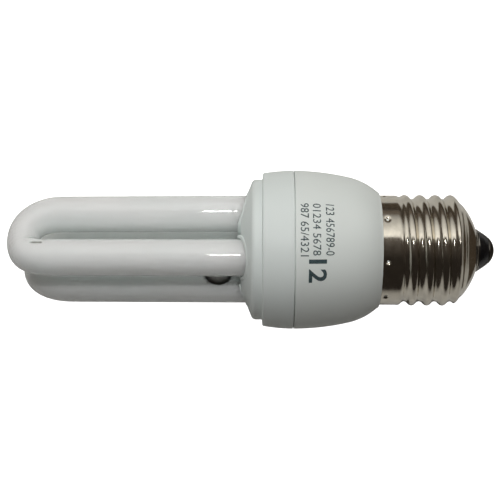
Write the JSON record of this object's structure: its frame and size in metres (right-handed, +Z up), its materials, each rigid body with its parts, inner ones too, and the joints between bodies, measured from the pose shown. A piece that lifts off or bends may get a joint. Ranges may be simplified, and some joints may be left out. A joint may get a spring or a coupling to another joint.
{
  "type": "u shaped fluorescent bulb",
  "caption": "Self-ballasted fluorescent lamp: bridged U shaped glass tubes in a white round housing, with an E27 screw cap at the other end.",
  "frame": {"origin": "on the lamp's axis, in the plane where the screw cap's skirt meets the housing's neck", "axes": "+X along the axis towards the centre contact, the tubes towards -X, +Z up as the lamp lies on a table with one tube uppermost"},
  "size_m": [0.1142, 0.0374, 0.0374],
  "materials": {
    "coated_glass": "glossy glass, white powder inside",
    "holder_plastic": "white, smooth",
    "cement": "rough",
    "housing_plastic": "white, smooth",
    "nickel_plate": "nickel plated, bright",
    "black_glass": "opaque, glossy",
    "contact_metal": "tinned, dull",
    "board_laminate": "paper laminate",
    "tinned_wire": "tinned",
    "lead_wire": "drawn",
    "capacitor_sleeve": "shrunk sleeve",
    "ferrite": "sintered, matt",
    "bobbin_plastic": "moulded",
    "enamelled_copper": "enamelled",
    "black_epoxy": "moulded",
    "film_capacitor_coat": "dipped",
    "diac_glass": "coated",
    "resistor_coat": "lacquered"
  },
  "bodies": {
    "root": {"discharge_tube": "coated_glass", "tube_holder": "holder_plastic", "tube_cement": "cement", "ballast_housing": "housing_plastic", "screw_shell": "nickel_plate", "cap_insulator": "black_glass", "centre_contact": "contact_metal", "circuit_board": "board_laminate", "wrap_pins": "tinned_wire", "filament_lead_1": "lead_wire", "filament_lead_2": "lead_wire", "filament_lead_3": "lead_wire", "filament_lead_4": "lead_wire", "electrolytic_capacitor": "capacitor_sleeve", "choke_core": "ferrite", "choke_bobbin": "bobbin_plastic", "choke_winding": "enamelled_copper", "ring_core": "ferrite", "ring_windings": "enamelled_copper", "switching_transistor_1": "black_epoxy", "switching_transistor_2": "black_epoxy", "filter_capacitor": "film_capacitor_coat", "resonance_capacitor": "film_capacitor_coat", "rectifier_diodes": "black_epoxy", "trigger_diode": "diac_glass", "base_resistor_1": "resistor_coat", "base_resistor_2": "resistor_coat", "fusible_resistor": "resistor_coat", "contact_lead": "tinned_wire", "shell_lead": "tinned_wire"}
  },
  "joints": []
}
